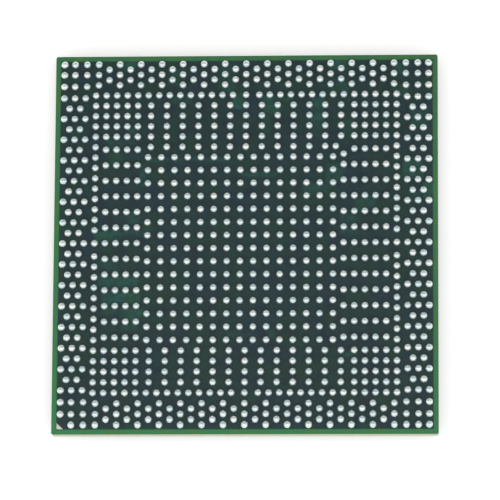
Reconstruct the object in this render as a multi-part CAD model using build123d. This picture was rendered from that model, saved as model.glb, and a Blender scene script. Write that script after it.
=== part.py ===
from build123d import *
import math
import os

# Flip-chip ball grid array package, ball side up, lying on the back of its die.
# Sizes are in millimetres. The origin is on the back of the die, under the middle of the package.
# North is +Y and east is +X. The corner without a ball, beside the pin-one mark, is the south-west one.

# Ball grid: three pitches in concentric zones
ball_pitch = 0.8
core_pitch = 1.0
bar_pitch = 1.2
core_rows = 15
inner_rows = 4
outer_rows = 3
ball_to_edge = 0.7

# Solder balls
ball_diameter = 0.58
ball_seat_diameter = 0.44

# Substrate: laminate with a copper sheet and solder mask on each face
laminate_thickness = 1.0
body_corner_radius = 0.15
copper_thickness = 0.018
copper_to_edge = 0.4
copper_corner_radius = 0.1
mask_thickness = 0.02
mark_height = 0.03
ball_side_mark_leg = 0.48
die_side_mark_leg = 1.2

# Die, and the resin that fills the gap under it
die_length = 12.4
die_width = 11.6
die_thickness = 0.78
bump_height = 0.07
underfill_reach = 0.9
underfill_dispense_reach = 1.5
underfill_climb = 0.45
underfill_hollow = 2.4
underfill_foot = 0.05
underfill_steps = 5
underfill_corner_radius = 0.6

# Chip capacitors round the die
capacitors_per_side = 4
capacitor_spacing = 2.6
capacitor_to_die = 2.9
capacitor_length = 1.0
capacitor_width = 0.5
capacitor_plating = 0.02
terminal_length = 0.25
terminal_edge_radius = 0.015
solder_film = 0.03
solder_reach = 0.18
solder_rise = 0.28
solder_hollow = 0.03

# Places worked out from the sizes above
core_half = (core_rows - 1) / 2 * core_pitch
core_shift = ball_pitch / 2
core_edge = core_half + core_shift
inner_lines = [core_edge + ball_pitch * k for k in range(1, inner_rows + 1)]
ring_line = core_edge + ball_pitch * (inner_rows + 1)
outer_lines = [ring_line + ball_pitch * k for k in range(1, outer_rows + 1)]
between_lines = [line + ball_pitch / 2 for line in outer_lines[:-1]]
body_half = outer_lines[-1] + ball_to_edge
copper_half = body_half - copper_to_edge

field_build_up = copper_thickness + mask_thickness
die_field_z = die_thickness + bump_height
laminate_bottom_z = die_field_z + field_build_up
laminate_top_z = laminate_bottom_z + laminate_thickness
ball_seat_z = laminate_top_z + field_build_up

sides = ("north", "west", "south", "east")
corners = ("north_east", "north_west", "south_west", "south_east")
mark_corner = "south_west"


def quarter_turns(points, turns):
    """The points, turned about the package centre by a number of quarter turns."""
    for _ in range(turns):
        points = [(-y, x) for x, y in points]
    return points


def rounded_plate(half, thickness, radius, bottom_z):
    """A square plate with rounded corners, on bottom_z."""
    return Pos(0, 0, bottom_z) * extrude(RectangleRounded(2 * half, 2 * half, radius), thickness)


# Ball places, zone by zone

def core_places():
    """The square core, on its own pitch and set half a ball pitch towards the mark."""
    line = [core_pitch * k - core_half - core_shift for k in range(core_rows)]
    return [(x, y) for x in line for y in line]


def core_border_places():
    """The line of balls along the north of the core: on the bar pitch, with one ball closing its end."""
    reach = int(core_edge / bar_pitch)
    along = [bar_pitch * k for k in range(-reach, reach)]
    along.append(along[-1] + ball_pitch)
    return [(x, core_edge) for x in along]


def bar_places():
    """The bars north of the core: columns on the bar pitch, rows on the ball pitch."""
    reach = int(core_edge / bar_pitch)
    return [(bar_pitch * k, y) for k in range(-reach, reach + 1) for y in inner_lines]


def inner_block_places():
    """The square block of balls between the north bars and the east bars."""
    return [(x, y) for x in inner_lines for y in inner_lines]


def ring_places():
    """The north side of the ring: stepped in from its corners, with one ball in the middle.

    The west corner belongs to the next side.
    """
    steps = int((ring_line - ball_pitch) / ball_pitch) + 1
    along = [ring_line - ball_pitch * k for k in range(steps)]
    return [(x, ring_line) for x in [*along, 0.0, *(-x for x in along[1:])]]


def stagger_reach():
    """How many columns the staggered edge band has on each side of its middle."""
    return int(ring_line / ball_pitch)


def edge_places():
    """The staggered band along the north edge: columns of three balls and of two, in turn."""
    reach = stagger_reach()
    places = []
    for k in range(-reach, reach + 1):
        lines = outer_lines if k % 2 == 0 else between_lines
        places += [(ball_pitch * k, y) for y in lines]
    return places


def corner_places():
    """The block in the north-east corner. Its inner line is midway from the band to the next line."""
    inner = (ball_pitch * stagger_reach() + outer_lines[1]) / 2
    lines = [inner, *outer_lines[1:]]
    return [(x, y) for x in lines for y in lines]


def ball_groups():
    """Node name of each zone, with the places of its balls."""
    groups = {"balls_core": core_places()}
    groups["balls_core_border_north"] = core_border_places()
    groups["balls_core_border_east"] = [(y, x) for x, y in core_border_places()]
    for turns, side in enumerate(sides):
        groups["balls_bars_" + side] = quarter_turns(bar_places(), turns)
        groups["balls_ring_" + side] = quarter_turns(ring_places(), turns)
        groups["balls_edge_" + side] = quarter_turns(edge_places(), turns)
    for turns, corner in enumerate(corners):
        groups["balls_inner_" + corner] = quarter_turns(inner_block_places(), turns)
        places = corner_places()
        if corner == mark_corner:
            places = [place for place in places if min(place) < outer_lines[-1]]
        groups["balls_corner_" + corner] = quarter_turns(places, turns)
    return groups


def solder_ball():
    """A ball flattened where it is soldered: its seat is the opening in the mask, which it fills."""
    radius = ball_diameter / 2
    centre_height = math.sqrt(radius ** 2 - (ball_seat_diameter / 2) ** 2)
    seat_latitude = -math.degrees(math.asin(centre_height / radius))
    ball = Sphere(radius, seat_latitude, 90, 360, align=None)
    return Pos(0, 0, centre_height) * ball


# Substrate

def mark_triangle(leg, thickness):
    """The pin-one triangle, with its right angle on the corner of the copper sheet."""
    corner = -copper_half
    outline = Polygon((corner, corner), (corner + leg, corner), (corner, corner + leg), align=None)
    return extrude(outline, thickness)


def laminate():
    """The stiff core of glass cloth and resin that carries everything else."""
    return rounded_plate(body_half, laminate_thickness, body_corner_radius, laminate_bottom_z)


def copper_sheet():
    """The outer copper, drawn as one sheet on z = 0. It stops short of the edge all round."""
    return rounded_plate(copper_half, copper_thickness, copper_corner_radius, 0)


def solder_mask(mark_leg):
    """The mask film on z = 0, draped over the edge of the copper and open at the mark."""
    border = rounded_plate(body_half, mask_thickness, body_corner_radius, 0)
    field = rounded_plate(copper_half, field_build_up, copper_corner_radius, 0)
    return border + field - copper_sheet() - mark_triangle(mark_leg, field_build_up)


def mark(leg):
    """The plated triangle in the opening of the mask, rounded with the corner of the copper."""
    square_corner = Pos(0, 0, copper_thickness) * mark_triangle(leg, mark_height)
    return square_corner & rounded_plate(copper_half, mark_height, copper_corner_radius, copper_thickness)


def on_top(piece):
    """The piece, drawn on z = 0, set on the ball side of the laminate."""
    return Pos(0, 0, laminate_top_z) * piece


def underneath(piece):
    """The piece mirrored to the die side, so that the mark stays in the same corner."""
    return Pos(0, 0, laminate_bottom_z) * mirror(piece, about=Plane.XY)


# Die and underfill

def die():
    """The bare silicon, with its back on z = 0."""
    return Pos(0, 0, die_thickness / 2) * Box(die_length, die_width, die_thickness)


def underfill_section(share):
    """Outline of the resin at a share of its full reach, set at the height of its hollow slope there.

    The north side is the wider one.
    """
    side_reach = underfill_reach * share
    north_reach = underfill_dispense_reach * share
    outline = RectangleRounded(
        die_length + 2 * side_reach,
        die_width + side_reach + north_reach,
        underfill_corner_radius * share,
    )
    rise = bump_height + underfill_climb
    drop = rise * ((1 - share) / (1 - underfill_foot)) ** underfill_hollow
    return Pos(0, (north_reach - side_reach) / 2, die_field_z - drop) * outline


def underfill():
    """Cured resin: it fills the gap over the die and climbs the die's sides in a hollow slope."""
    step = (1 - underfill_foot) / underfill_steps
    sections = [underfill_section(1 - step * k) for k in range(underfill_steps + 1)]
    return loft(sections, ruled=True) - die()


# Chip capacitors

def capacitor_body():
    """The ceramic block, between its platings, standing on the solder film."""
    inset = 2 * capacitor_plating
    block = Box(capacitor_length - inset, capacitor_width - inset, capacitor_width - inset)
    return Pos(0, 0, solder_film + capacitor_width / 2) * block


def terminal():
    """The plated cap on the end of the block."""
    cap = Box(terminal_length, capacitor_width, capacitor_width)
    outer_edges = cap.faces().sort_by(Axis.X)[-1].edges()
    cap = fillet(outer_edges, terminal_edge_radius)
    place_x = (capacitor_length - terminal_length) / 2
    return Pos(place_x, 0, solder_film + capacitor_width / 2) * cap - capacitor_body()


def solder_joint():
    """The solder under a terminal and the hollow fillet up its end."""
    inner_x = capacitor_length / 2 - terminal_length
    end_x = capacitor_length / 2
    tip_x = end_x + solder_reach
    rise_z = solder_film + solder_rise
    hollow = SagittaArc((tip_x, 0), (end_x, rise_z), solder_hollow)
    rest = Polyline((end_x, rise_z), (end_x, solder_film), (inner_x, solder_film), (inner_x, 0), (tip_x, 0))
    profile = make_face([hollow, rest])
    return Rot(90, 0, 0) * Pos(0, 0, -capacitor_width / 2) * extrude(profile, capacitor_width)


def both_ends(piece):
    """The piece at the east end of a capacitor and again at its west end."""
    return [piece, Rot(0, 0, 180) * piece]


def capacitor_seats(turns):
    """Where the capacitors of one side hang: across the die's edge, evenly spaced along it."""
    die_half = (die_width if turns % 2 == 0 else die_length) / 2
    out = die_half + capacitor_to_die
    middle = (capacitors_per_side - 1) / 2
    seats = []
    for k in range(capacitors_per_side):
        x, y = quarter_turns([((k - middle) * capacitor_spacing, out)], turns)[0]
        seats.append(Pos(x, y, die_field_z) * Rot(180, 0, 90 + 90 * turns))
    return seats


# Writing the pieces

def build():
    """Each node's name, with its solids in place."""
    nodes = {
        "laminate": [laminate()],
        "ball_side_copper": [on_top(copper_sheet())],
        "ball_side_mask": [on_top(solder_mask(ball_side_mark_leg))],
        "ball_side_mark": [on_top(mark(ball_side_mark_leg))],
        "die_side_copper": [underneath(copper_sheet())],
        "die_side_mask": [underneath(solder_mask(die_side_mark_leg))],
        "die_side_mark": [underneath(mark(die_side_mark_leg))],
        "die": [die()],
        "underfill": [underfill()],
    }
    ball = solder_ball()
    for name, places in ball_groups().items():
        nodes[name] = [Pos(x, y, ball_seat_z) * ball for x, y in places]
    for turns, side in enumerate(sides):
        seats = capacitor_seats(turns)
        for number, seat in enumerate(seats, start=1):
            nodes[f"capacitor_{side}_{number}"] = [seat * capacitor_body()]
        nodes["terminals_" + side] = [seat * end for seat in seats for end in both_ends(terminal())]
        nodes["joints_" + side] = [seat * end for seat in seats for end in both_ends(solder_joint())]
    return nodes


os.makedirs("parts", exist_ok=True)
for node, pieces in build().items():
    solids = [solid for piece in pieces for solid in piece.solids()]
    shape = solids[0] if len(solids) == 1 else Compound(solids)
    export_step(shape, f"parts/{node}.step")
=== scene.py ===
import math
import random

import bpy
from mathutils import Matrix, Vector


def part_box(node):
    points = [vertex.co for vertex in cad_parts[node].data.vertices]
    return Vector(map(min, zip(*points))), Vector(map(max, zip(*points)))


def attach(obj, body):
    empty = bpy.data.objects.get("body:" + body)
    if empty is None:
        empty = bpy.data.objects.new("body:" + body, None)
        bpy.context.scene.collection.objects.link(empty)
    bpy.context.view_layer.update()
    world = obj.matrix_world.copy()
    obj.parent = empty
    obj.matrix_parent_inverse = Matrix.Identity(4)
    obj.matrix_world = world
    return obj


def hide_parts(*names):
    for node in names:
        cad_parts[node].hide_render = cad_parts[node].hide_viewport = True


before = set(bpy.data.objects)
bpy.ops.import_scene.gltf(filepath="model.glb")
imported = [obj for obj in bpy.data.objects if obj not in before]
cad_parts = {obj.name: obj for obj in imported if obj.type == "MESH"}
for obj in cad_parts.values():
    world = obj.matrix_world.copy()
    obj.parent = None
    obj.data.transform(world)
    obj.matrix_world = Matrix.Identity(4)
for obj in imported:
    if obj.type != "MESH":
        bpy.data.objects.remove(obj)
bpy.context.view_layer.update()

# Substrate core
# Glass cloth laid up in resin and pressed into one stiff sheet. The package was routed out of a
# panel, so its four walls show the cut ends of the cloth, one ply above the other.

mm = 0.001
ply_height = 0.24 * mm
ply_waver = ply_height / 4
strand_width = 0.45 * mm


def linear(hex_colour):
    """A colour written as sRGB hex, as the linear values that a shader takes."""
    parts = [int(hex_colour[k:k + 2], 16) / 255 for k in (1, 3, 5)]
    return (*(p / 12.92 if p <= 0.04045 else ((p + 0.055) / 1.055) ** 2.4 for p in parts), 1)


def add_node(tree, kind, inputs=None, **settings):
    """Adds a node with its settings, and a value or a link for each input that is named or numbered."""
    made = tree.nodes.new(kind)
    for name, value in settings.items():
        setattr(made, name, value)
    for name, value in (inputs or {}).items():
        if isinstance(value, bpy.types.NodeSocket):
            tree.links.new(value, made.inputs[name])
        else:
            made.inputs[name].default_value = value
    return made


def start_material(name):
    """A new material, with its node tree, its shader and the object coordinates."""
    material = bpy.data.materials.new(name)
    material.use_nodes = True
    tree = material.node_tree
    place = add_node(tree, "ShaderNodeTexCoord").outputs["Object"]
    return material, tree, tree.nodes["Principled BSDF"], place


def give(material, *nodes):
    """Puts a material on CAD nodes whose shape is already right."""
    for node in nodes:
        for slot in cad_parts[node].material_slots:
            slot.material = material


# Pressed glass and resin: the cut glass scatters light, so the walls are a pale dull straw, ply by ply.
laminate, tree, shader, place = start_material("routed_glass_laminate")
stretched = add_node(tree, "ShaderNodeMapping", {
    "Vector": place,
    "Scale": (1 / strand_width, 1 / strand_width, 1 / ply_height),
})
strands = add_node(tree, "ShaderNodeTexNoise", {
    "Vector": stretched.outputs["Vector"], "Scale": 1, "Detail": 2, "Roughness": 0.6,
})
wavering = add_node(tree, "ShaderNodeVectorMath", {
    0: strands.outputs["Color"], 1: (0, 0, ply_waver), 2: place,
}, operation="MULTIPLY_ADD")
level = add_node(tree, "ShaderNodeSeparateXYZ", {"Vector": wavering.outputs[0]})
ply = add_node(tree, "ShaderNodeMath", {0: level.outputs["Z"], 1: ply_height}, operation="PINGPONG")
resin_line = add_node(tree, "ShaderNodeMapRange", {
    "Value": ply.outputs[0], "From Min": 0.5 * ply_height, "From Max": 0.25 * ply_height, "To Max": 0.65,
})
cut = add_node(tree, "ShaderNodeMix", {
    0: strands.outputs["Fac"], 6: linear("#C9C8A6"), 7: linear("#EEECDD"),
}, data_type="RGBA")
layered = add_node(tree, "ShaderNodeMix", {
    0: resin_line.outputs["Result"], 6: cut.outputs[2], 7: linear("#A9A878"),
}, data_type="RGBA")
fibres = add_node(tree, "ShaderNodeBump", {
    "Height": strands.outputs["Fac"], "Distance": 0.01 * mm, "Strength": 0.6,
})
tree.links.new(layered.outputs[2], shader.inputs["Base Color"])
tree.links.new(fibres.outputs["Normal"], shader.inputs["Normal"])
shader.inputs["Roughness"].default_value = 0.62
shader.inputs["IOR"].default_value = 1.55
give(laminate, "laminate")


# Outer copper
# A plated copper sheet on each face of the core, etched back from the edge all round. Its surface
# was browned before the mask went on, and the mask covers all of it.

grain_of_copper = 0.15 * mm

copper, tree, shader, place = start_material("browned_copper")
grain = add_node(tree, "ShaderNodeTexNoise", {"Vector": place, "Scale": 1 / grain_of_copper, "Detail": 3})
brown = add_node(tree, "ShaderNodeMix", {
    0: grain.outputs["Fac"], 6: linear("#8A4B33"), 7: linear("#B8704D"),
}, data_type="RGBA")
tree.links.new(brown.outputs[2], shader.inputs["Base Color"])
shader.inputs["Metallic"].default_value = 1
shader.inputs["Roughness"].default_value = 0.45
give(copper, "ball_side_copper", "die_side_copper")


# Solder mask
# A green photo-imaged resin film, cured on each face. Over copper it looks nearly black, with a
# slate or olive cast. Over the bare edge, and where the copper has a window, the laminate lights it green.

cloud_size = 2.2 * mm
patch_size = 0.9 * mm
fleck_size = 0.4 * mm
edge_cloud_size = 1.4 * mm
film_ripple = 0.35 * mm
window_blur = 0.3 * mm
window_wander = 0.5 * mm
window_mottle = 0.45 * mm
# The dark field ends a little past the copper, where the film has come down over the copper's edge.
film_overhang = 0.025 * mm
dark_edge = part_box("ball_side_copper")[1].x + film_overhang
dark_edge_blur = 0.05 * mm
# Windows and gaps in the copper of the ball side: middle x and y, width and depth in mm, how clear it is.
copper_windows = [
    # Along the north side
    (-9.0, 13.8, 1.2, 0.8, 0.8),
    (-5.3, 12.9, 1.2, 1.4, 0.6),
    (-4.9, 11.1, 1.5, 0.6, 0.4),
    (-1.5, 13.0, 1.2, 2.0, 0.5),
    (-1.3, 11.9, 0.8, 0.8, 0.6),
    (-0.6, 10.9, 1.0, 1.1, 1.0),
    (1.9, 10.7, 1.4, 1.4, 0.9),
    (3.0, 11.2, 0.9, 0.4, 0.5),
    (1.5, 9.4, 0.6, 1.6, 0.45),
    (5.4, 10.4, 1.0, 1.8, 0.9),
    (5.3, 8.9, 1.0, 1.4, 0.4),
    (7.0, 13.8, 1.3, 0.9, 0.9),
    (7.1, 12.1, 1.4, 1.0, 0.5),
    (7.7, 8.8, 0.8, 1.4, 0.5),
    (11.7, 13.4, 1.0, 0.9, 0.6),
    (11.8, 11.7, 1.0, 0.9, 0.7),
    # Along the west side
    (-12.8, 8.6, 1.3, 1.1, 0.3),
    (-8.6, 8.6, 0.8, 0.8, 0.6),
    (-9.5, 7.7, 2.2, 0.8, 0.4),
    (-9.9, 6.5, 0.9, 1.0, 0.5),
    (-8.5, 1.9, 0.9, 1.0, 0.7),
    (-8.8, 0.9, 1.7, 0.5, 0.6),
    (-10.4, 0.6, 1.9, 1.0, 0.9),
    (-7.4, 1.0, 0.7, 0.9, 0.4),
    (-10.4, -1.6, 1.5, 0.9, 0.5),
    (-9.6, -2.9, 3.0, 0.9, 0.8),
    (-9.4, -4.1, 2.8, 0.9, 1.0),
    (-10.2, -5.1, 1.0, 0.6, 0.6),
    (-8.6, -5.4, 1.8, 0.9, 1.0),
    (-8.7, -6.3, 1.3, 0.7, 0.5),
    # Along the east side
    (13.1, 9.6, 1.3, 1.4, 0.6),
    (12.6, 5.7, 1.5, 1.4, 0.9),
    (13.8, 3.9, 0.8, 1.2, 1.0),
    (12.8, 3.5, 0.9, 0.8, 0.4),
    (6.7, 5.4, 1.3, 1.4, 0.7),
    (5.3, 4.2, 2.0, 0.8, 0.6),
    (9.0, 3.0, 1.5, 1.0, 0.6),
    (7.7, 1.8, 1.0, 1.0, 0.6),
    (7.8, 0.9, 1.3, 0.5, 0.7),
    # Along the south side
    (7.9, -8.6, 0.9, 0.5, 0.6),
    (-0.3, -7.0, 2.2, 0.3, 0.5),
    (2.0, -6.9, 0.5, 0.7, 0.5),
    # The long gaps round the core
    (-4.5, 6.5, 6.0, 0.25, 0.9),
    (1.0, 5.3, 2.6, 0.25, 0.9),
    (-7.8, 5.3, 0.3, 1.6, 0.8),
]


def solder_mask(name, windows):
    """Cured mask resin: a semi-gloss film, evenly smooth, with a faint ripple from what lies under it."""
    material, tree, shader, place = start_material(name)
    clouds = add_node(tree, "ShaderNodeTexNoise", {"Vector": place, "Scale": 1 / cloud_size, "Detail": 2})
    patches = add_node(tree, "ShaderNodeTexNoise", {"Vector": place, "Scale": 1 / patch_size, "Detail": 2})
    flecks = add_node(tree, "ShaderNodeTexNoise", {"Vector": place, "Scale": 1 / fleck_size, "Detail": 1})
    slate = add_node(tree, "ShaderNodeMapRange", {
        "Value": clouds.outputs["Fac"], "From Min": 0.42, "From Max": 0.58,
    })
    navy = add_node(tree, "ShaderNodeMapRange", {
        "Value": patches.outputs["Fac"], "From Min": 0.45, "From Max": 0.7, "To Max": 0.8,
    })
    olive = add_node(tree, "ShaderNodeMapRange", {
        "Value": flecks.outputs["Fac"], "From Min": 0.45, "From Max": 0.75, "To Max": 0.5,
    })
    colour = add_node(tree, "ShaderNodeMix", {
        0: slate.outputs["Result"], 6: linear("#183F36"), 7: linear("#1A3A42"),
    }, data_type="RGBA").outputs[2]
    colour = add_node(tree, "ShaderNodeMix", {
        0: navy.outputs["Result"], 6: colour, 7: linear("#152C39"),
    }, data_type="RGBA").outputs[2]
    colour = add_node(tree, "ShaderNodeMix", {
        0: olive.outputs["Result"], 6: colour, 7: linear("#2A3322"),
    }, data_type="RGBA").outputs[2]
    wander = add_node(tree, "ShaderNodeTexNoise", {"Vector": place, "Scale": 1 / window_wander, "Detail": 1})
    wandering = add_node(tree, "ShaderNodeVectorMath", {
        0: wander.outputs["Color"], 1: (window_wander, window_wander, 0), 2: place,
    }, operation="MULTIPLY_ADD")
    clear = None
    for x, y, width, depth, clearness in windows:
        from_middle = add_node(tree, "ShaderNodeVectorMath", {
            0: wandering.outputs[0], 1: (x * mm + window_wander / 2, y * mm + window_wander / 2, 0),
        }, operation="SUBTRACT")
        far = add_node(tree, "ShaderNodeVectorMath", {0: from_middle.outputs[0]}, operation="ABSOLUTE")
        past = add_node(tree, "ShaderNodeVectorMath", {
            0: far.outputs[0], 1: (width / 2 * mm, depth / 2 * mm, 1),
        }, operation="SUBTRACT")
        sides = add_node(tree, "ShaderNodeSeparateXYZ", {"Vector": past.outputs[0]})
        outside = add_node(tree, "ShaderNodeMath", {
            0: sides.outputs["X"], 1: sides.outputs["Y"],
        }, operation="MAXIMUM")
        window = add_node(tree, "ShaderNodeMapRange", {
            "Value": outside.outputs[0], "From Min": window_blur / 2, "From Max": -window_blur / 2,
            "To Max": clearness,
        }).outputs["Result"]
        if clear is not None:
            window = add_node(tree, "ShaderNodeMath", {
                0: clear, 1: window,
            }, operation="MAXIMUM").outputs[0]
        clear = window
    if clear is not None:
        mottle = add_node(tree, "ShaderNodeTexNoise", {
            "Vector": place, "Scale": 1 / window_mottle, "Detail": 2,
        })
        broken = add_node(tree, "ShaderNodeMapRange", {
            "Value": mottle.outputs["Fac"], "From Min": 0.35, "From Max": 0.6, "To Min": 0.25,
        })
        clear = add_node(tree, "ShaderNodeMath", {
            0: clear, 1: broken.outputs["Result"],
        }, operation="MULTIPLY")
        lit = add_node(tree, "ShaderNodeMix", {
            0: navy.outputs["Result"], 6: linear("#205C47"), 7: linear("#1A5A5E"),
        }, data_type="RGBA")
        colour = add_node(tree, "ShaderNodeMix", {
            0: clear.outputs[0], 6: colour, 7: lit.outputs[2],
        }, data_type="RGBA").outputs[2]
    sides = add_node(tree, "ShaderNodeSeparateXYZ", {"Vector": place})
    across = add_node(tree, "ShaderNodeMath", {0: sides.outputs["X"]}, operation="ABSOLUTE")
    along = add_node(tree, "ShaderNodeMath", {0: sides.outputs["Y"]}, operation="ABSOLUTE")
    out = add_node(tree, "ShaderNodeMath", {0: across.outputs[0], 1: along.outputs[0]}, operation="MAXIMUM")
    bare = add_node(tree, "ShaderNodeMapRange", {
        "Value": out.outputs[0], "From Min": dark_edge - dark_edge_blur,
        "From Max": dark_edge + dark_edge_blur,
    })
    edge_clouds = add_node(tree, "ShaderNodeTexNoise", {
        "Vector": place, "Scale": 1 / edge_cloud_size, "Detail": 3,
    })
    # Painted light: the bare green edge is mixed from a darker green in the north-north-east to a lighter
    # green in the south-south-west, the side the softbox lights.
    toward_lit_side = add_node(tree, "ShaderNodeVectorMath", {0: place, 1: (-0.3, -0.7, 0)}, operation="DOT_PRODUCT")
    painted_light_share = add_node(tree, "ShaderNodeMapRange", {
        "Value": toward_lit_side.outputs["Value"], "From Min": -dark_edge, "From Max": dark_edge,
    })
    green_with_painted_light = add_node(tree, "ShaderNodeMix", {
        0: painted_light_share.outputs["Result"], 6: linear("#397147"), 7: linear("#358651"),
    }, data_type="RGBA")
    yellowing = add_node(tree, "ShaderNodeMapRange", {
        "Value": edge_clouds.outputs["Fac"], "From Min": 0.45, "From Max": 0.75, "To Max": 0.8,
    })
    green = add_node(tree, "ShaderNodeMix", {
        0: yellowing.outputs["Result"], 6: green_with_painted_light.outputs[2], 7: linear("#4B7F3C"),
    }, data_type="RGBA")
    colour = add_node(tree, "ShaderNodeMix", {
        0: bare.outputs["Result"], 6: colour, 7: green.outputs[2],
    }, data_type="RGBA").outputs[2]
    gloss = add_node(tree, "ShaderNodeMapRange", {
        "Value": clouds.outputs["Fac"], "To Min": 0.28, "To Max": 0.4,
    })
    ripple = add_node(tree, "ShaderNodeTexNoise", {"Vector": place, "Scale": 1 / film_ripple, "Detail": 1})
    uneven = add_node(tree, "ShaderNodeBump", {
        "Height": ripple.outputs["Fac"], "Distance": 0.003 * mm, "Strength": 0.5,
    })
    tree.links.new(colour, shader.inputs["Base Color"])
    tree.links.new(gloss.outputs["Result"], shader.inputs["Roughness"])
    tree.links.new(uneven.outputs["Normal"], shader.inputs["Normal"])
    shader.inputs["IOR"].default_value = 1.5
    shader.inputs["Specular IOR Level"].default_value = 0.35
    return material


give(solder_mask("solder_mask_over_ball_side", copper_windows), "ball_side_mask")
give(solder_mask("solder_mask_over_die_side", []), "die_side_mask")


# Pin-one marks
# A small bare triangle of copper in the south-west corner of each face, left open in the mask. The
# one beside the balls was tinned with them, and the one beside the die is gilt.

mark_edge_radius = 0.008 * mm
mark_edge_steps = 2
mark_corner_radius = 0.1 * mm
mark_corner_steps = 4
plating_grain = 0.06 * mm
smooth_below = math.radians(40)


def start_shape(name):
    """The new primitive, named and with everything in it selected, in edit mode."""
    shape = bpy.context.object
    shape.name = name
    bpy.ops.object.transform_apply(location=True, rotation=True, scale=True)
    bpy.ops.object.mode_set(mode="EDIT")
    bpy.ops.mesh.select_all(action="SELECT")
    return shape


def select_parts(shape, kind, test):
    """Selects only the vertices, edges or faces whose middle passes the test, in edit mode."""
    bpy.ops.mesh.select_mode(type=kind)
    bpy.ops.mesh.select_all(action="DESELECT")
    bpy.ops.object.mode_set(mode="OBJECT")
    points = shape.data.vertices
    parts = {"VERT": points, "EDGE": shape.data.edges, "FACE": shape.data.polygons}[kind]
    for part in parts:
        corners = [part.index] if kind == "VERT" else part.vertices
        middle = sum((points[k].co for k in corners), Vector()) / len(corners)
        part.select = test(middle)
    bpy.ops.object.mode_set(mode="EDIT")


def finish_shape(shape, material, slot, *nodes):
    """Leaves edit mode, smooths the shape and puts it in the place of its CAD nodes."""
    bpy.ops.mesh.select_all(action="SELECT")
    bpy.ops.mesh.normals_make_consistent(inside=False)
    bpy.ops.object.mode_set(mode="OBJECT")
    bpy.ops.object.shade_smooth_by_angle(angle=smooth_below)
    shape.data.materials.append(material)
    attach(shape, "root")
    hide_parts(*nodes)
    bpy.ops.object.select_all(action="DESELECT")


def pin_one_mark(name, node, material, slot):
    """A square with one corner taken off, given its thickness and rounded edges."""
    low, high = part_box(node)
    middle = (low + high) / 2
    bpy.ops.mesh.primitive_plane_add(size=high.x - low.x, location=(middle.x, middle.y, low.z))
    shape = start_shape(name)
    select_parts(shape, "VERT", lambda point: point.x > middle.x and point.y > middle.y)
    bpy.ops.mesh.delete(type="VERT")
    bpy.ops.mesh.select_all(action="SELECT")
    bpy.ops.mesh.edge_face_add()
    select_parts(shape, "VERT", lambda point: point.x < middle.x and point.y < middle.y)
    bpy.ops.mesh.bevel(offset=mark_corner_radius, segments=mark_corner_steps, affect="VERTICES")
    bpy.ops.mesh.select_all(action="SELECT")
    bpy.ops.mesh.extrude_region_move(TRANSFORM_OT_translate={"value": (0, 0, high.z - low.z)})
    bpy.ops.mesh.select_all(action="SELECT")
    bpy.ops.mesh.bevel(offset=mark_edge_radius, segments=mark_edge_steps, affect="EDGES", clamp_overlap=True)
    finish_shape(shape, material, slot, node)


def plated_metal(name, dark, light, roughness):
    """Thin plating on copper: a soft metal sheen, a little uneven from grain to grain."""
    material, tree, shader, place = start_material(name)
    grain = add_node(tree, "ShaderNodeTexNoise", {"Vector": place, "Scale": 1 / plating_grain, "Detail": 2})
    colour = add_node(tree, "ShaderNodeMix", {
        0: grain.outputs["Fac"], 6: linear(dark), 7: linear(light),
    }, data_type="RGBA")
    uneven = add_node(tree, "ShaderNodeBump", {
        "Height": grain.outputs["Fac"], "Distance": 0.002 * mm, "Strength": 0.4,
    })
    tree.links.new(colour.outputs[2], shader.inputs["Base Color"])
    tree.links.new(uneven.outputs["Normal"], shader.inputs["Normal"])
    shader.inputs["Metallic"].default_value = 1
    shader.inputs["Roughness"].default_value = roughness
    return material


bpy.ops.object.select_all(action="DESELECT")
tinned = plated_metal("tinned_copper", "#D2D6CE", "#E8EAE2", 0.55)
gilt = plated_metal("gilt_copper", "#C79A4B", "#E0B868", 0.35)
pin_one_mark("pin_one_mark_ball_side", "ball_side_mark", tinned, "tinned_mark")
pin_one_mark("pin_one_mark_die_side", "die_side_mark", gilt, "gilt_mark")


# Solder balls
# Tin, silver and copper solder, cast as beads and melted onto the lands: each ball wets the opening
# in the mask and sets as a sphere with a flat foot. No two are quite alike in height or brightness.

size_spread = 0.01
solder_grain = 0.07 * mm
ball_segments = 12
ball_rings = 6
# A ball of few corners looks as wide as a round one where its corners stand a little proud.
corner_reach = math.sqrt(math.tau / (ball_segments * math.sin(math.tau / ball_segments)))
weld_distance = 0.0001 * mm
micrometre_digits = 6
variation_seed = 11
random.seed(variation_seed)

# Cast solder: bright and slightly frosted, with a fine dendrite grain.
solder, tree, shader, place = start_material("cast_tin_silver_solder")
batch = add_node(tree, "ShaderNodeAttribute", attribute_name="batch")
grain = add_node(tree, "ShaderNodeTexNoise", {"Vector": place, "Scale": 1 / solder_grain, "Detail": 2})
tone = add_node(tree, "ShaderNodeMath", {0: batch.outputs["Fac"], 1: grain.outputs["Fac"]}, operation="ADD")
toned = add_node(tree, "ShaderNodeMapRange", {"Value": tone.outputs[0], "From Min": 0.3, "From Max": 1.7})
silver = add_node(tree, "ShaderNodeMix", {
    0: toned.outputs["Result"], 6: linear("#DAECEF"), 7: linear("#F8FDFA"),
}, data_type="RGBA")
frost = add_node(tree, "ShaderNodeMapRange", {
    "Value": grain.outputs["Fac"], "To Min": 0.3, "To Max": 0.45,
})
dendrites = add_node(tree, "ShaderNodeBump", {
    "Height": grain.outputs["Fac"], "Distance": 0.004 * mm, "Strength": 0.5,
})
tree.links.new(silver.outputs[2], shader.inputs["Base Color"])
tree.links.new(frost.outputs["Result"], shader.inputs["Roughness"])
tree.links.new(dendrites.outputs["Normal"], shader.inputs["Normal"])
shader.inputs["Metallic"].default_value = 1

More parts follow.
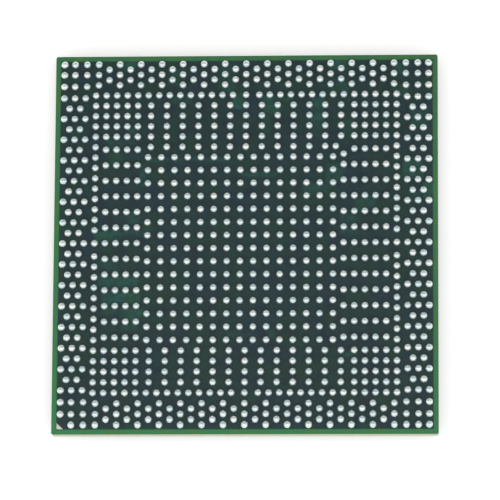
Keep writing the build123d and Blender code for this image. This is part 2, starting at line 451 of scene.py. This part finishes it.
line_low, line_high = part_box("balls_ring_north")
ball_radius = (line_high.y - line_low.y) / 2
ball_centre_z = line_high.z - ball_radius
seat_depth = line_high.z - line_low.z - ball_radius
bpy.ops.mesh.primitive_uv_sphere_add(segments=ball_segments, ring_count=ball_rings, radius=ball_radius)
bead = start_shape("bead")
bpy.ops.transform.resize(value=(corner_reach, corner_reach, 1), center_override=(0, 0, 0))
bpy.ops.mesh.bisect(
    plane_co=(0, 0, -seat_depth), plane_no=(0, 0, 1),
    use_fill=True, clear_inner=True, threshold=weld_distance,
)
bpy.ops.mesh.select_all(action="SELECT")
bpy.ops.transform.translate(value=(0, 0, seat_depth))
bpy.ops.object.mode_set(mode="OBJECT")
bead.data.attributes.new("batch", "FLOAT", "POINT")


def ball_places(node):
    """Where the balls of a zone stand: the crown of each ball in the CAD node."""
    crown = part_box(node)[1].z
    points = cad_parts[node].data.vertices
    crowns = [point.co for point in points if crown - point.co.z < weld_distance]
    return sorted({(round(co.x, micrometre_digits), round(co.y, micrometre_digits)) for co in crowns})


def stand_balls(node):
    """One zone of balls, each set down in its place with its own height, turn and brightness."""
    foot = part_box(node)[0].z
    balls = []
    for x, y in ball_places(node):
        ball = bpy.data.objects.new(node, bead.data.copy())
        bpy.context.collection.objects.link(ball)
        width = 1 + random.uniform(-size_spread, size_spread)
        height = 1 - random.uniform(0, size_spread)
        turn = Matrix.Rotation(random.uniform(0, math.tau), 4, "Z")
        stretch = Matrix.Diagonal((width, width, height, 1))
        ball.data.transform(Matrix.Translation((x, y, foot)) @ turn @ stretch)
        brightness = random.random()
        for point in ball.data.attributes["batch"].data:
            point.value = brightness
        balls.append(ball)
    for ball in balls:
        ball.select_set(True)
    bpy.context.view_layer.objects.active = balls[0]
    bpy.ops.object.join()
    zone = bpy.context.object
    zone.name = "solder_" + node
    bpy.ops.object.mode_set(mode="EDIT")
    finish_shape(zone, solder, "solder_ball", node)


bpy.ops.object.select_all(action="DESELECT")
for node in sorted(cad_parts):
    if node.startswith("balls_"):
        stand_balls(node)
bpy.data.objects.remove(bead)


# Die
# One block of silicon, sawn from its wafer and soldered face down. Its back was ground and then
# polished, so it mirrors what it lies on, and its sawn walls are duller.

saw_chamfer = 0.012 * mm
grinding_pitch = 0.12 * mm
grinding_centre = (-30 * mm, 18 * mm, 0)

# Ground silicon: a dark grey, blue-tinged mirror with faint arcs from the grinding wheel.
silicon, tree, shader, place = start_material("ground_silicon")
from_wheel = add_node(tree, "ShaderNodeVectorMath", {0: place, 1: grinding_centre}, operation="DISTANCE")
arcs = add_node(tree, "ShaderNodeTexNoise", {
    "W": add_node(tree, "ShaderNodeMath", {
        0: from_wheel.outputs["Value"], 1: 1 / grinding_pitch,
    }, operation="MULTIPLY").outputs[0],
    "Scale": 1, "Detail": 3,
}, noise_dimensions="1D")
grey = add_node(tree, "ShaderNodeMix", {
    0: arcs.outputs["Fac"], 6: linear("#8C9097"), 7: linear("#A5A9AF"),
}, data_type="RGBA")
polish = add_node(tree, "ShaderNodeMapRange", {
    "Value": arcs.outputs["Fac"], "To Min": 0.1, "To Max": 0.26,
})
tree.links.new(grey.outputs[2], shader.inputs["Base Color"])
tree.links.new(polish.outputs["Result"], shader.inputs["Roughness"])
shader.inputs["Metallic"].default_value = 1

low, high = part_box("die")
bpy.ops.mesh.primitive_cube_add(size=1, location=(low + high) / 2, scale=high - low)
die = start_shape("silicon_die")
bpy.ops.mesh.bevel(offset=saw_chamfer, segments=1, affect="EDGES")
finish_shape(die, silicon, "silicon", "die")


# Underfill
# Filled epoxy, dispensed beside the hot die and drawn under it, then cured. It seals the bumps and
# climbs the die's walls in a hollow slope, widest on the north side where the needle ran.

climb_steps = 7
corner_steps = 6
hollow_power = 2.4
foot_gap = 0.01 * mm
resin_grain = 0.2 * mm

resin_low, resin_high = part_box("underfill")
die_low, die_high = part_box("die")
side_reach = resin_high.x - die_high.x
north_reach = resin_high.y - die_high.y
bpy.ops.mesh.primitive_plane_add(size=1, location=(0, 0, resin_high.z))
underfill = start_shape("cured_underfill")
bpy.ops.transform.resize(
    value=(2 * resin_high.x, 2 * (die_high.y + side_reach), 1), center_override=(0, 0, 0),
)
bpy.ops.mesh.bevel(offset=side_reach, segments=corner_steps, affect="VERTICES")
rise = resin_high.z - resin_low.z
reached = [1 - k / climb_steps for k in range(climb_steps + 1)]
heights = [resin_high.z - rise * (1 - share) ** hollow_power for share in reached]
for k in range(climb_steps):
    step = (side_reach - foot_gap) / climb_steps
    bpy.ops.mesh.inset(thickness=step)
    bpy.ops.transform.translate(value=(0, 0, heights[k + 1] - heights[k]))
bpy.ops.mesh.extrude_region_move(TRANSFORM_OT_translate={"value": (0, 0, die_high.z - resin_low.z)})
bpy.ops.mesh.select_all(action="DESELECT")
bpy.ops.mesh.select_mode(type="EDGE")
bpy.ops.mesh.select_non_manifold()
bpy.ops.mesh.edge_face_add()
select_parts(underfill, "VERT", lambda point: point.y > die_high.y + foot_gap)
bpy.ops.transform.resize(
    value=(1, (north_reach - foot_gap) / (side_reach - foot_gap), 1),
    center_override=(0, die_high.y + foot_gap, 0),
)

# Cured epoxy full of silica: near black with a grey-brown bloom, satin.
resin, tree, shader, place = start_material("cured_filled_epoxy")
filler = add_node(tree, "ShaderNodeTexNoise", {"Vector": place, "Scale": 1 / resin_grain, "Detail": 4})
dark = add_node(tree, "ShaderNodeMix", {
    0: filler.outputs["Fac"], 6: linear("#1B1A18"), 7: linear("#38342E"),
}, data_type="RGBA")
uneven = add_node(tree, "ShaderNodeBump", {
    "Height": filler.outputs["Fac"], "Distance": 0.01 * mm, "Strength": 0.4,
})
tree.links.new(dark.outputs[2], shader.inputs["Base Color"])
tree.links.new(uneven.outputs["Normal"], shader.inputs["Normal"])
shader.inputs["Roughness"].default_value = 0.42
shader.inputs["IOR"].default_value = 1.55
finish_shape(underfill, resin, "underfill", "underfill")


# Chip capacitors
# Blocks of fired ceramic with plated ends, four along each side of the die, soldered to the
# substrate. They even out the supply to the die.

ceramic_edge_radius = 0.02 * mm
rounding_steps = 3
ceramic_grain = 0.08 * mm

# Fired barium titanate: a matt brown with a fine grain.
ceramic, tree, shader, place = start_material("fired_capacitor_ceramic")
grain = add_node(tree, "ShaderNodeTexNoise", {"Vector": place, "Scale": 1 / ceramic_grain, "Detail": 3})
brown = add_node(tree, "ShaderNodeMix", {
    0: grain.outputs["Fac"], 6: linear("#6E5238"), 7: linear("#8F7050"),
}, data_type="RGBA")
tree.links.new(brown.outputs[2], shader.inputs["Base Color"])
shader.inputs["Roughness"].default_value = 0.55

capacitors = sorted(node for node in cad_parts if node.startswith("capacitor_"))
for node in capacitors:
    low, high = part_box(node)
    bpy.ops.mesh.primitive_cube_add(size=1, location=(low + high) / 2, scale=high - low)
    block = start_shape(node + "_ceramic")
    size = high - low
    middle = (low + high) / 2
    long_axis = 0 if size.x > size.y else 1
    quarter = size[long_axis] / 4
    select_parts(block, "EDGE", lambda point: abs(point[long_axis] - middle[long_axis]) < quarter)
    bpy.ops.mesh.bevel(offset=ceramic_edge_radius, segments=rounding_steps, affect="EDGES")
    finish_shape(block, ceramic, "capacitor_ceramic", node)


# Capacitor terminals
# The ends of each block were dipped in silver paste, fired and plated with nickel and tin. The tin
# wraps round the end and a little way along the four sides.

terminal_length = 0.25 * mm
terminal_edge_radius = 0.035 * mm

tin = plated_metal("plated_tin", "#BFC1C2", "#DADBD9", 0.38)
low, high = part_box("capacitor_north_1")
plating = low.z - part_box("terminals_north")[0].z
length = high.y - low.y + 2 * plating
width = high.x - low.x + 2 * plating
mouth = length / 2 - terminal_length
bpy.ops.mesh.primitive_cube_add(
    size=1,
    location=((mouth + length / 2) / 2, 0, 0),
    scale=(terminal_length, width, width),
)
cap = start_shape("cap")
select_parts(cap, "EDGE", lambda point: point.x > mouth + terminal_length / 4)
bpy.ops.mesh.bevel(offset=terminal_edge_radius, segments=rounding_steps, affect="EDGES")
select_parts(cap, "FACE", lambda point: point.x < mouth + terminal_length / 10)
bpy.ops.mesh.inset(thickness=plating)
bpy.ops.mesh.extrude_region_move(TRANSFORM_OT_translate={"value": (terminal_length - plating, 0, 0)})
bpy.ops.object.mode_set(mode="OBJECT")
bpy.ops.object.select_all(action="DESELECT")
for side in ("north", "west", "south", "east"):
    ends = []
    for node in capacitors:
        if node.startswith("capacitor_" + side):
            low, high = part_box(node)
            along = 90 if high.y - low.y > high.x - low.x else 0
            for turn in (along, along + 180):
                end = bpy.data.objects.new("end", cap.data.copy())
                bpy.context.collection.objects.link(end)
                end.data.transform(
                    Matrix.Translation((low + high) / 2) @ Matrix.Rotation(math.radians(turn), 4, "Z")
                )
                ends.append(end)
    for end in ends:
        end.select_set(True)
    bpy.context.view_layer.objects.active = ends[0]
    bpy.ops.object.join()
    bpy.context.object.name = "capacitor_ends_" + side
    bpy.ops.object.mode_set(mode="EDIT")
    finish_shape(bpy.context.object, tin, "tin_plating", "terminals_" + side)
bpy.data.objects.remove(cap)


# Capacitor solder joints
# Solder paste, melted in the same oven: it stands under each terminal and runs up its end in a
# small hollow fillet.

joint_solder = plated_metal("reflowed_solder", "#B9BCBD", "#DDDFDD", 0.3)
give(joint_solder, "joints_north", "joints_west", "joints_south", "joints_east")


# Table, light and camera
# The package lies on a wide white table, under one large softbox that reaches from the camera's side
# to just past overhead. The room gives a plain fill, paler towards the horizon.

table_size = 8.0
table_drop = 0.02 * mm
table_glow = 0.36
softbox_height = 0.5
softbox_near_angle = math.radians(62)
softbox_far_angle = math.radians(11)
softbox_side_angle = math.radians(75)
softbox_radiance = 0.68
room_at_horizon = 0.86
room_overhead = 0.42
# The camera's place from the middle of the grid of ball centres, and its turn in degrees, as fitted to
# the grid in the photo.
camera_x = 16.508 * mm
camera_y = -55.967 * mm
camera_height = 300.496 * mm
camera_turn = (10.4512, 3.0212, 0.3057)
camera_sensor = 36
camera_lens = 292.76
nearest_seen = 0.01
farthest_seen = 10

bpy.ops.mesh.primitive_plane_add(size=table_size, location=(0, 0, -table_drop))
table = bpy.context.object
table.name = "table"
white, tree, shader, place = start_material("white_table")
shader.inputs["Base Color"].default_value = linear("#FAFAFA")
shader.inputs["Roughness"].default_value = 0.9
shader.inputs["Specular IOR Level"].default_value = 0
shader.inputs["Emission Color"].default_value = (1, 1, 1, 1)
ray = add_node(tree, "ShaderNodeLightPath")
mirrored = add_node(tree, "ShaderNodeMath", {
    0: ray.outputs["Is Glossy Ray"], 1: ray.outputs["Is Transmission Ray"],
}, operation="MAXIMUM")
seen = add_node(tree, "ShaderNodeMath", {
    0: ray.outputs["Is Camera Ray"], 1: mirrored.outputs[0],
}, operation="MAXIMUM")
glow = add_node(tree, "ShaderNodeMapRange", {"Value": seen.outputs[0], "To Max": table_glow})
tree.links.new(glow.outputs["Result"], shader.inputs["Emission Strength"])
facing = add_node(tree, "ShaderNodeNewGeometry")
nothing = add_node(tree, "ShaderNodeBsdfTransparent")
one_sided = add_node(tree, "ShaderNodeMixShader", {
    0: facing.outputs["Backfacing"], 1: shader.outputs["BSDF"], 2: nothing.outputs["BSDF"],
})
tree.links.new(one_sided.outputs[0], tree.nodes["Material Output"].inputs["Surface"])
table.data.materials.append(white)

near = softbox_height * math.tan(softbox_near_angle)
far = softbox_height * math.tan(softbox_far_angle)
softbox = bpy.data.lights.new("softbox", "AREA")
softbox.shape = "RECTANGLE"
softbox.size = 2 * softbox_height * math.tan(softbox_side_angle)
softbox.size_y = near + far
softbox.energy = softbox_radiance * math.pi * softbox.size * softbox.size_y
lamp = bpy.data.objects.new("softbox", softbox)
lamp.location = (0, (far - near) / 2, softbox_height)
bpy.context.collection.objects.link(lamp)

room = bpy.data.worlds.new("room")
room.use_nodes = True
bpy.context.scene.world = room
tree = room.node_tree
direction = add_node(tree, "ShaderNodeTexCoord").outputs["Generated"]
upward = add_node(tree, "ShaderNodeSeparateXYZ", {"Vector": direction})
fill = add_node(tree, "ShaderNodeMapRange", {
    "Value": upward.outputs["Z"], "From Min": 0.1, "From Max": 0.5,
    "To Min": room_at_horizon, "To Max": room_overhead,
})
background = tree.nodes["Background"]
background.inputs["Color"].default_value = (1, 1, 1, 1)
tree.links.new(fill.outputs["Result"], background.inputs["Strength"])

camera_data = bpy.data.cameras.new("camera")
camera_data.sensor_width = camera_sensor
camera_data.lens = camera_lens
camera_data.clip_start = nearest_seen
camera_data.clip_end = farthest_seen
camera = bpy.data.objects.new("camera", camera_data)
camera.location = (camera_x, camera_y, ball_centre_z + camera_height)
camera.rotation_euler = [math.radians(angle) for angle in camera_turn]
bpy.context.collection.objects.link(camera)
bpy.context.scene.camera = camera
bpy.context.scene.view_settings.view_transform = "Standard"
